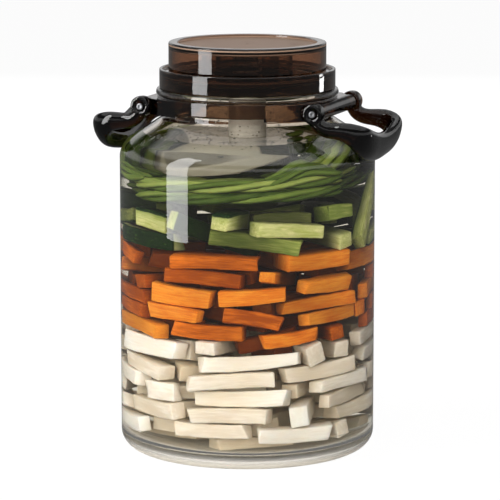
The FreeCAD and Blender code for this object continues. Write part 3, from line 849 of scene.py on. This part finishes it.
@dataclass
class Brine:
    """The liquid, a little way into the glass all round so that no film of air is left."""

    jar: GlassJar
    level: float = 210 * MM
    overlap: float = 0.12 * MM
    meniscus: float = 0.7 * MM

    def build(self) -> None:
        """Make the liquid."""
        jar, lap, rise = self.jar, self.overlap, self.meniscus
        inner, slope = jar.body_radius - jar.wall, math.tan(SHOULDER_SLOPE)
        edge = inner - (self.level - jar.inner_shoulder) / slope
        profile = [
            (0, jar.base_top - lap, 0),
            (inner + lap, jar.base_top - lap, jar.base_corner - jar.wall + lap),
            (inner + lap, jar.inner_shoulder, 10 * MM), (edge - rise / slope + 2 * lap, self.level + rise, 0),
            (edge - 3.2 * rise, self.level, 1.6 * MM), (0, self.level, 0),
        ]
        new_piece("brine", turned(profile, 192, 6), "jar", "jar_glass", "brine")


@dataclass
class CarryingHandle:
    """One moulded handle, with its creases softened as a mould softens them."""

    side: str
    voxel: float = 0.65 * MM
    passes: int = 6

    def build(self) -> None:
        """Make the handle from its solid."""
        node = "handle_" + self.side
        piece = new_piece(node + "_moulding", solid_copy(node), node, "handle_plastic", stands_for=(node,))
        even = piece.modifiers.new("even", "REMESH")
        even.mode, even.voxel_size, even.use_smooth_shade = "VOXEL", self.voxel, True
        soft = piece.modifiers.new("soft", "SMOOTH")
        soft.factor, soft.iterations = 0.5, self.passes
        graph = bpy.context.evaluated_depsgraph_get()
        rough, mesh = piece.data, bpy.data.meshes.new_from_object(piece.evaluated_get(graph))
        piece.modifiers.clear()
        piece.data = mesh
        bpy.data.meshes.remove(rough)


@dataclass
class CapMoulding:
    """The gate mark in the middle of the cap and a small ring beside it."""

    floor: float = 270.63 * MM
    sunk: float = 0.1 * MM
    gate_radius: float = 1.1 * MM
    gate_height: float = 0.35 * MM
    ring_radius: float = 4.6 * MM
    ring_thickness: float = 0.3 * MM
    ring_reach: float = 33.0 * MM
    ring_azimuth: float = 20.8

    def build(self) -> None:
        """Make both marks as one piece on the cap."""
        low, top, half = self.floor - self.sunk, self.floor + self.gate_height, self.ring_thickness / 2
        marks = turned([(0, low, 0), (self.gate_radius, low, 0), (self.gate_radius * 0.8, top, 0.1 * MM),
                        (0, top, 0)], 32, 3)
        inner, outer, crest = self.ring_radius - half, self.ring_radius + half, self.floor + half
        ring = turned([(inner, low, 0), (outer, low, 0), (outer, crest, half * 0.6),
                       (inner, crest, half * 0.6)], 48, 2)
        turn = math.radians(self.ring_azimuth)
        bmesh.ops.translate(ring, vec=(self.ring_reach * math.cos(turn), self.ring_reach * math.sin(turn), 0),
                            verts=ring.verts[:])
        add_to(marks, ring)
        smooth(marks, 40)
        new_piece("cap_moulding", marks, "cap", "smoky_plastic", "handle_plastic")


@dataclass
class HingePin:
    """One steel pin, with a small dished head at its outer end."""

    side: str
    end: str
    head_radius: float = 2.2 * MM
    head_height: float = 1.1 * MM
    shank_radius: float = 1.9 * MM
    dish_radius: float = 1.1 * MM
    dish_depth: float = 0.7 * MM
    fit: float = 0.03 * MM

    def build(self) -> None:
        """Turn the pin along the solid that it stands for."""
        node = f"hinge_pin_{self.side}_{self.end}"
        solid = solid_copy(node)
        low, high = (Vector([pick(v.co[axis] for v in solid.verts) for axis in range(3)]) for pick in (min, max))
        solid.free()
        length = high.y - low.y - 2 * self.fit
        neck, dish = length - self.head_height, length - self.dish_depth
        pin = turned([(0, 0, 0), (self.shank_radius, 0, 0.3 * MM), (self.shank_radius, neck, 0),
                      (self.head_radius, neck, 0.1 * MM), (self.head_radius, length, 0.4 * MM),
                      (self.dish_radius, length, 0.1 * MM), (self.dish_radius * 0.8, dish, 0.1 * MM),
                      (0, dish, 0)], 40, 3)
        out = 1 if self.end == "rear" else -1
        middle = (low + high) / 2
        start = Vector((middle.x, (low.y if out > 0 else high.y) + out * self.fit, middle.z))
        turn = Matrix.Rotation(math.radians(-90 * out), 4, "X")
        bmesh.ops.transform(pin, matrix=Matrix.Translation(start) @ turn, verts=pin.verts[:])
        smooth(pin, 40)
        new_piece(node.replace("hinge_pin", "pin"), pin, "jar", "pin_steel", stands_for=(node,))


@dataclass
class PressSpring:
    """The coil spring in the press tube."""

    foot: float = 199.15 * MM
    top: float = 264.95 * MM
    travel: float = 17.5 * MM

    def build(self) -> None:
        """Make the spring from its solid, with a mesh of its own, on the press."""
        spring = new_piece("coil_spring", solid_copy("press_spring"), "press", "spring_steel",
                           stands_for=("press_spring",))
        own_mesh(spring)


@dataclass
class StickLayer:
    """One layer of cut sticks, each on the place of its solid."""

    slot: str
    rounding: float = 0.9 * MM
    cuts: int = 9
    bow: float = 1.0 * MM
    taper: float = 0.28
    slant: float = 0.3
    unevenness: float = 0.45 * MM
    chance: random.Random = field(default_factory=lambda: random.Random(11))

    def build(self) -> None:
        """Make the layer."""
        node = self.slot + "_sticks"
        source, whole = solid_copy(node), bmesh.new()
        bmesh.ops.dissolve_limit(source, angle_limit=math.radians(2), verts=source.verts[:],
                                 edges=source.edges[:])
        add_layers(whole)
        for corners in islands(source):
            add_to(whole, self.stick(*self.frame_of(corners)))
        source.free()
        new_piece(self.slot + "_cuts", whole, "jar", self.slot, stands_for=(node,))

    @staticmethod
    def frame_of(corners: Sequence[Vert]) -> tuple[Matrix, Vector]:
        """Where a box lies and how large it is.

        Args:
            corners: Its vertices.

        Returns:
            Its place, longest side along X, and its three half sizes.
        """
        middle, start = sum((v.co for v in corners), Vector()) / len(corners), corners[0]
        edges = sorted((e.other_vert(start).co - start.co for e in start.link_edges), key=lambda d: -d.length)[:3]
        x, y = edges[0].normalized(), edges[1].normalized()
        turn = Matrix((x, y, x.cross(y))).transposed().to_4x4()
        return Matrix.Translation(middle) @ turn, Vector([e.length / 2 for e in edges])

    def stick(self, place: Matrix, halves: Vector) -> Shape:
        """One stick with rounded edges and slightly uneven cuts.

        Args:
            place: Where it lies.
            halves: Half sizes.

        Returns:
            The shape.
        """
        chance = self.chance
        shape = bmesh.new()
        bmesh.ops.create_cube(shape, size=2.0)
        bmesh.ops.scale(shape, vec=halves, verts=shape.verts[:])
        for i in range(self.cuts):
            share = -1 + 2 * (i + 1) / (self.cuts + 1)
            bmesh.ops.bisect_plane(shape, geom=[*shape.verts, *shape.edges, *shape.faces],
                                   plane_co=(share * halves.x * 0.96, 0, 0), plane_no=(1, 0, 0))
        outer = [e for e in shape.edges if e.calc_face_angle(0.0) > 1.0]
        bmesh.ops.bevel(shape, geom=outer, offset=self.rounding * chance.uniform(0.7, 1.3),
                        offset_type="OFFSET", affect="EDGES", segments=2, profile=0.5, material=-1,
                        clamp_overlap=True)
        grain, tone, skin, core_and_underside_shade = add_layers(shape)
        shade, phase = chance.random(), Vector([chance.uniform(-1, 1) for i in range(3)])
        bow = [chance.uniform(-1, 1) * self.bow for i in range(2)]
        heavy_end, taper = chance.choice((-1, 1)), [chance.uniform(0.0, self.taper) for i in range(2)]
        slant = [chance.uniform(-self.slant, self.slant) for i in range(4)]
        axis, outward = self.skin_side(place)
        for vert in shape.verts:
            x, y, z = vert.co
            along, wide, thick = x / halves.x, y / halves.y, z / halves.z
            vert[grain] = vert.co + phase
            vert[tone] = shade
            if outward:
                toward = (wide, thick)[axis] * outward
                vert[skin] = max(0.0, toward)
                vert[core_and_underside_shade] = max(0.0, 0.6 - toward) * 0.8
            bend = 0.5 - along * along
            thin_end = 0.5 + 0.5 * along * heavy_end
            narrow, thin = (1.03 - t * thin_end * thin_end for t in taper)
            end = max(0.0, abs(along) - 0.8) * 5
            across, upward = slant[:2] if along > 0 else slant[2:]
            shift = (across * y + upward * z) * end
            rough = noise.noise_vector(vert.co * 160 + phase * 40) * self.unevenness
            vert.co = Vector((x + shift - abs(shift) * math.copysign(1, along),
                              y * narrow + bow[0] * bend, z * thin + bow[1] * bend)) + rough
        bmesh.ops.transform(shape, matrix=place, verts=shape.verts[:])
        smooth(shape, 75)
        return shape

    def skin_side(self, place: Matrix) -> tuple[int, float]:
        """Which long face carries the skin: the top, the bottom, or mostly the one turned from the glass.

        Args:
            place: Where the stick lies.

        Returns:
            The axis across the stick, 0 or 1, and the side, or 0 for a stick without skin.
        """
        turn, middle = place.to_3x3(), place.translation
        upright = 1 if abs(turn.col[2].z) > abs(turn.col[1].z) else 0
        draw = self.chance.random()
        if draw < 0.15:
            return 0, 0.0
        if draw < 0.5:
            return upright, 1.0 if draw < 0.34 else -1.0
        across = turn.col[2 - upright]
        away = -1.0 if middle.x * across.x + middle.y * across.y > 0 else 1.0
        return 1 - upright, -away if draw > 0.78 else away


Place = tuple[float, Vector, Vector, Vector]


@dataclass
class BeanCoil:
    """Long beans that lie in rings round the jar, with one short end that stands up."""

    jar: GlassJar
    node: str = "long_beans"
    radius: float = 2.2 * MM
    flatness: float = 0.93
    strands: int = 3
    strand_offset: float = 2.0 * MM
    twist_length: float = 95 * MM
    tilt: float = 2.5
    tilt_azimuth: float = 20.8
    pivot_height: float = 179.19 * MM
    level_pitch: float = 7.5 * MM
    flat_below: float = 9 * MM
    ring: int = 9
    step: float = 3.6 * MM
    seed_spacing: float = 9 * MM
    end_length: float = 9 * MM
    wander: float = 1.4 * MM
    wall_room: float = 0.25 * MM
    first_roll: float = 0.0
    dip_reach: float = 62 * MM
    tip_radius: float = 3.2 * MM
    chance: random.Random = field(default_factory=lambda: random.Random(5))

    def dip(self, height: float) -> float:
        """How far the ends of a pod hang down to the level below, in front where the coil is open.

        Args:
            height: Height of the pod in the level coil.

        Returns:
            The drop at the very end.
        """
        return {2: 5.5 * MM, 3: 10.5 * MM}.get(round((height - self.pivot_height) / self.level_pitch), 0.0)

    def build(self) -> None:
        """Make all the pods as one piece."""
        azimuth, pivot = math.radians(self.tilt_azimuth), Matrix.Translation((0, 0, self.pivot_height))
        lean = Matrix.Rotation(math.radians(self.tilt), 4, Vector((math.sin(azimuth), -math.cos(azimuth), 0)))
        tilting = pivot @ lean @ pivot.inverted()
        level = tilting.inverted()
        source, whole = solid_copy(self.node), bmesh.new()
        add_layers(whole)
        for verts in islands(source):
            points = [level @ v.co for v in verts]
            heights = [p.z for p in points]
            lying = max(heights) - min(heights) < self.flat_below
            for strand in range(self.strands if lying else 1):
                pod = self.curved_pod(points, strand) if lying else self.straight_pod(points)
                bmesh.ops.transform(pod, matrix=tilting, verts=pod.verts[:])
                for vert in pod.verts:
                    self.keep_inside(vert)
                add_to(whole, pod)
        source.free()
        new_piece("bean_pods", whole, "jar", "bean", stands_for=(self.node,))

    def keep_inside(self, vert: Vert) -> None:
        """Press a point that would pass the glass back inwards.

        Args:
            vert: The point.
        """
        jar = self.jar
        limit = jar.body_radius - jar.wall - self.wall_room
        reach = math.hypot(vert.co.x, vert.co.y)
        above = vert.co.z - (jar.inner_shoulder - 3 * MM)
        if above > 0:
            limit -= above / math.tan(SHOULDER_SLOPE) * min(1.0, above / (6 * MM)) * 0.97
        if reach > limit:
            vert.co.x, vert.co.y = vert.co.x * limit / reach, vert.co.y * limit / reach

    def curved_pod(self, points: Sequence[Vector], strand: int) -> Shape:
        """One of the pods that lie twisted together on the place of a solid.

        Args:
            points: Points of the solid, with the coil level.
            strand: Which of the pods.

        Returns:
            The shape.
        """
        heights, reaches = [p.z for p in points], [math.hypot(p.x, p.y) for p in points]
        height, radius = ((max(values) + min(values)) / 2 for values in (heights, reaches))
        angles = sorted(math.atan2(p.y, p.x) for p in points)
        widest, start = max((b - a, b) for a, b in zip(angles, angles[1:] + [angles[0] + 2 * math.pi]))
        span = 2 * math.pi - widest
        shape = bmesh.new()
        bmesh.ops.create_circle(shape, cap_ends=False, radius=self.radius, segments=self.ring,
                                matrix=Matrix.Translation((radius, 0, height)) @ Matrix.Rotation(math.pi / 2, 4, "X"))
        bmesh.ops.rotate(shape, cent=(0, 0, 0), matrix=Matrix.Rotation(start, 3, "Z"), verts=shape.verts[:])
        bmesh.ops.spin(shape, geom=[*shape.verts, *shape.edges], cent=(0, 0, 0), axis=(0, 0, 1), dvec=(0, 0, 0),
                       angle=span, steps=max(8, round(span * radius / self.step)), use_merge=False)
        bmesh.ops.remove_doubles(shape, verts=shape.verts[:], dist=WELD)

        def locate(point: Vector) -> Place:
            """Find a point's place along the arc.

            Args:
                point: The point.

            Returns:
                Share of the length, the middle line there and the two directions across it.
            """
            turn = (math.atan2(point.y, point.x) - start) % (2 * math.pi)
            turn = 0.0 if turn > span + 0.5 * widest else turn
            outward = Vector((math.cos(start + turn), math.sin(start + turn), 0))
            return turn / span, outward * radius + Vector((0, 0, height)), outward, Vector((0, 0, 1))

        self.shape_pod(shape, span * radius, locate, strand)
        return shape

    def straight_pod(self, points: Sequence[Vector]) -> Shape:
        """The short end of a pod that stands up.

        Args:
            points: Points of its solid.

        Returns:
            The shape.
        """
        middle = sum(points, Vector()) / len(points)
        direction = (max(points, key=lambda p: (p - middle).length) - middle).normalized()
        for i in range(8):
            reach = [(p - middle).dot(direction) for p in points]
            ends = [p for p, r in zip(points, reach) if r > 0.8 * max(reach)]
            direction = (sum(ends, Vector()) / len(ends) - middle).normalized()
        direction = direction if direction.z > 0 else -direction
        reach = [(p - middle).dot(direction) for p in points]
        foot, length = middle + direction * min(reach), max(reach) - min(reach)
        side = direction.orthogonal().normalized()
        other = direction.cross(side)
        turn = Matrix((side, other, direction)).transposed().to_4x4()
        shape = bmesh.new()
        bmesh.ops.create_cone(shape, cap_ends=False, segments=self.ring, radius1=self.radius, radius2=self.radius,
                              depth=length * 0.99, matrix=Matrix.Translation(foot + direction * length / 2) @ turn)
        long_edges = [e for e in shape.edges if abs((e.verts[0].co - e.verts[1].co).dot(direction)) > length / 2]
        bmesh.ops.subdivide_edges(shape, edges=long_edges, cuts=7, use_grid_fill=True)

        def locate(point: Vector) -> Place:
            """Find a point's place along the stalk.

            Args:
                point: The point.

            Returns:
                Share of the length, the middle line there and the two directions across it.
            """
            along = (point - foot).dot(direction)
            return along / length, foot + direction * along, side, other

        self.shape_pod(shape, length, locate, 0, standing=True)
        return shape

    def shape_pod(self, shape: Shape, length: float, locate: Callable[[Vector], Place], strand: int,
                  standing: bool = False) -> None:
        """Give a plain tube the swellings, the tapered ends and the slight wander of a pod.

        Args:
            shape: The tube.
            length: Its length.
            locate: Gives a point's place along the tube.
            strand: Which of the pods that lie twisted together.
            standing: Whether it stands alone and ends in a point.
        """
        chance = self.chance
        grain, tone, skin, core_and_underside_shade = add_layers(shape)
        shade, phase = chance.random(), chance.uniform(-5, 5)
        girth = chance.uniform(0.86, 1.02) * (self.tip_radius if standing else self.radius)
        drift = [chance.uniform(0.6, 1.4) * self.wander for i in range(2)]
        self.first_roll = chance.uniform(0, 2 * math.pi) if strand == 0 else self.first_roll
        bmesh.ops.holes_fill(shape, edges=[e for e in shape.edges if e.is_boundary], sides=self.ring)
        tips = bmesh.ops.poke(shape, faces=[f for f in shape.faces if len(f.verts) > 4])["verts"]
        for vert in shape.verts:
            share, centre, across, upward = locate(vert.co)
            run, off = share * length, vert.co - centre
            angle = math.atan2(off.dot(upward), off.dot(across))
            to_end = min(run, length - run)
            taper = min(1.0, 0.30 + 0.70 * math.sqrt(max(0.0, to_end) / self.end_length))
            swell = 1 + 0.07 * math.cos(2 * math.pi * run / self.seed_spacing + phase)
            uneven = 1 + 0.07 * noise.noise(Vector((run * 60, phase, angle)))
            reach = 0.0 if vert in tips else girth * taper * swell * uneven
            lift = drift[0] * noise.noise(Vector((run * 16, phase, 3.1)))
            inward = -abs(drift[1] * noise.noise(Vector((run * 14, phase, 7.7))))
            if standing:
                reach *= min(1.0, 0.16 + 0.9 * (1 - share))
            else:
                roll = 2 * math.pi * (strand / self.strands + run / self.twist_length) + self.first_roll
                hang = max(0.0, 1 - to_end / min(self.dip_reach, length / 2))
                lift += self.strand_offset * math.sin(roll) - self.dip(centre.z) * hang * hang * (3 - 2 * hang)
                inward += self.strand_offset * math.cos(roll)
            # Painted shade mask: 1 on the underside of the pod, 0 on its top.
            vert[core_and_underside_shade] = 0.5 - 0.5 * math.sin(angle)
            vert[grain] = Vector((run, math.cos(angle) * self.radius, math.sin(angle) * self.radius + phase))
            vert[tone] = shade
            vert.co = centre + across * (math.cos(angle) * reach * self.flatness + inward) + upward * (
                math.sin(angle) * reach + lift)
        bmesh.ops.recalc_face_normals(shape, faces=shape.faces[:])
        smooth(shape)


# The studio

@dataclass
class Studio:
    """Camera, lamps, floor and background."""

    azimuth: float = 20.8
    distance: float = 1.9169
    height: float = 0.4704
    pitch: float = 10.009
    sensor: float = 36.0
    lens: float = 209.17
    clip: tuple[float, float] = (0.05, 50.0)
    shift: float = 0.0052
    white: float = 1.04
    ambient: float = 0.38
    floor_glow: float = 1.03
    floor_sheen: float = 0.16
    floor_size: float = 8.0
    room_levels: tuple[tuple[float, float], ...] = ((0.0, 0.16), (0.08, 0.75), (0.26, 0.75), (0.34, 0.08),
                                                    (0.55, 0.10), (0.64, 1.0))

    def build(self) -> None:
        """Set everything up round the object."""
        self.camera()
        self.background()
        self.floor()
        self.lamp("left_light", -140.0, 1.8, 0.9, (1.2, 1.2), 22.0)
        self.lamp("front_light", -60.0, 2.2, 1.0, (1.4, 1.4), 42.0)
        self.lamp("low_light", -95.0, 1.8, 0.30, (1.0, 0.5), 15.0)
        self.lamp("rear_light", 110.0, 2.2, 1.0, (1.4, 1.4), 22.0)
        self.lamp("left_softbox", -132.0, 0.90, 0.62, (0.34, 1.18), 10.0, sheen_only=True)
        self.lamp("right_window", 41.0, 0.9, 0.146, (0.15, 0.014), 0.1, sheen_only=True)
        bpy.context.scene.view_settings.view_transform = "Standard"

    def camera(self) -> None:
        """Stand the camera where the photograph was taken."""
        data = bpy.data.cameras.new("camera")
        data.sensor_width, data.lens, data.shift_x = self.sensor, self.lens, self.shift
        data.clip_start, data.clip_end = self.clip
        camera = bpy.data.objects.new("camera", data)
        turn = math.radians(self.azimuth)
        camera.location = (self.distance * math.sin(turn), -self.distance * math.cos(turn), self.height)
        camera.rotation_euler = (math.radians(90 - self.pitch), 0, turn)
        bpy.context.scene.collection.objects.link(camera)
        bpy.context.scene.camera = camera

    def background(self) -> None:
        """White all round, lower where it lights the object, and a bright ceiling over a dim room in reflections."""
        tree = Tree(bpy.data.worlds.new("studio"))
        direction = tree.add("TexCoord").outputs["Generated"]
        rise = tree.add("SeparateXYZ", Vector=direction).outputs["Z"]
        levels = tree.ramp(rise, [(place, (level,) * 3) for place, level in self.room_levels])
        room = tree.add("Background", Color=levels).outputs[0]
        light, white = (tree.add("Background", Color=(1.0, 1.0, 1.0), Strength=strength).outputs[0]
                        for strength in (self.ambient, self.white))
        unseen = tree.mix(tree.reflected(), light, room)
        bpy.context.scene.world = tree.finish(tree.mix(tree.shows_white(), unseen, white))

    def floor(self) -> None:
        """A white floor that keeps a soft shadow of the jar."""
        tree = Tree(bpy.data.materials.new("floor_white"))
        matt = tree.add("BsdfDiffuse", Color=(0.95, 0.95, 0.95)).outputs[0]
        glow, dim = (tree.add("Emission", Color=(1.0, 1.0, 1.0), Strength=strength).outputs[0]
                     for strength in (self.floor_glow, self.floor_sheen))
        share = tree.number("MULTIPLY", tree.shows_white(), 0.9)
        material = tree.finish(tree.mix(share, tree.mix(tree.reflected(), matt, dim), glow))
        shape = bmesh.new()
        bmesh.ops.create_grid(shape, x_segments=1, y_segments=1, size=self.floor_size)
        floor = as_object("floor", shape, material)

    @staticmethod
    def lamp(name: str, azimuth: float, distance: float, height: float, size: tuple[float, float],
             power: float, sheen_only: bool = False) -> None:
        """A soft lamp that faces the jar's axis.

        Args:
            name: Name of the lamp.
            azimuth: Direction in which it stands, in degrees from the X axis.
            distance: Its distance from the axis.
            height: Height of its middle.
            size: Width and height.
            power: Power in watts.
            sheen_only: Whether it only shows as a reflection and lights nothing.
        """
        data = bpy.data.lights.new(name, "AREA")
        data.shape, data.size, data.size_y, data.energy = "RECTANGLE", size[0], size[1], power
        lamp = bpy.data.objects.new(name, data)
        turn = math.radians(azimuth)
        lamp.location = (distance * math.cos(turn), distance * math.sin(turn), height)
        aim = Vector((0, 0, height)) - lamp.location
        lamp.rotation_euler = aim.to_track_quat("-Z", "Y").to_euler()
        lamp.visible_transmission = lamp.visible_camera = False
        lamp.visible_diffuse, lamp.visible_glossy = not sheen_only, sheen_only
        bpy.context.scene.collection.objects.link(lamp)


def main() -> None:
    """Build the studio and the jar, piece by piece."""
    logging.basicConfig(level=logging.INFO, format="%(name)s: %(message)s")
    noise.seed_set(NOISE_SEED)
    Studio().build()
    make_finishes()
    jar = GlassJar()
    jar.build()
    Brine(jar).build()
    for side in ("right", "left"):
        CarryingHandle(side).build()
    for node, finish in (("neck_band", "band_plastic"), ("screw_lid", "lid_plastic"),
                         ("airlock_cap", "cap_plastic"), ("lid_seal", "seal_rubber"),
                         ("press_guide", "press_tube"), ("press_sleeve", "press_tube"),
                         ("press_plate", "press_plastic")):
        for slot in NODES[node].material_slots:
            slot.material = FINISHES[finish]
    CapMoulding().build()
    PressSpring().build()
    for side in ("right", "left"):
        for end in ("front", "rear"):
            HingePin(side, end).build()
    for slot in ("radish", "carrot", "zucchini"):
        StickLayer(slot).build()
    BeanCoil(jar).build()


if __name__ == "__main__":
    main()
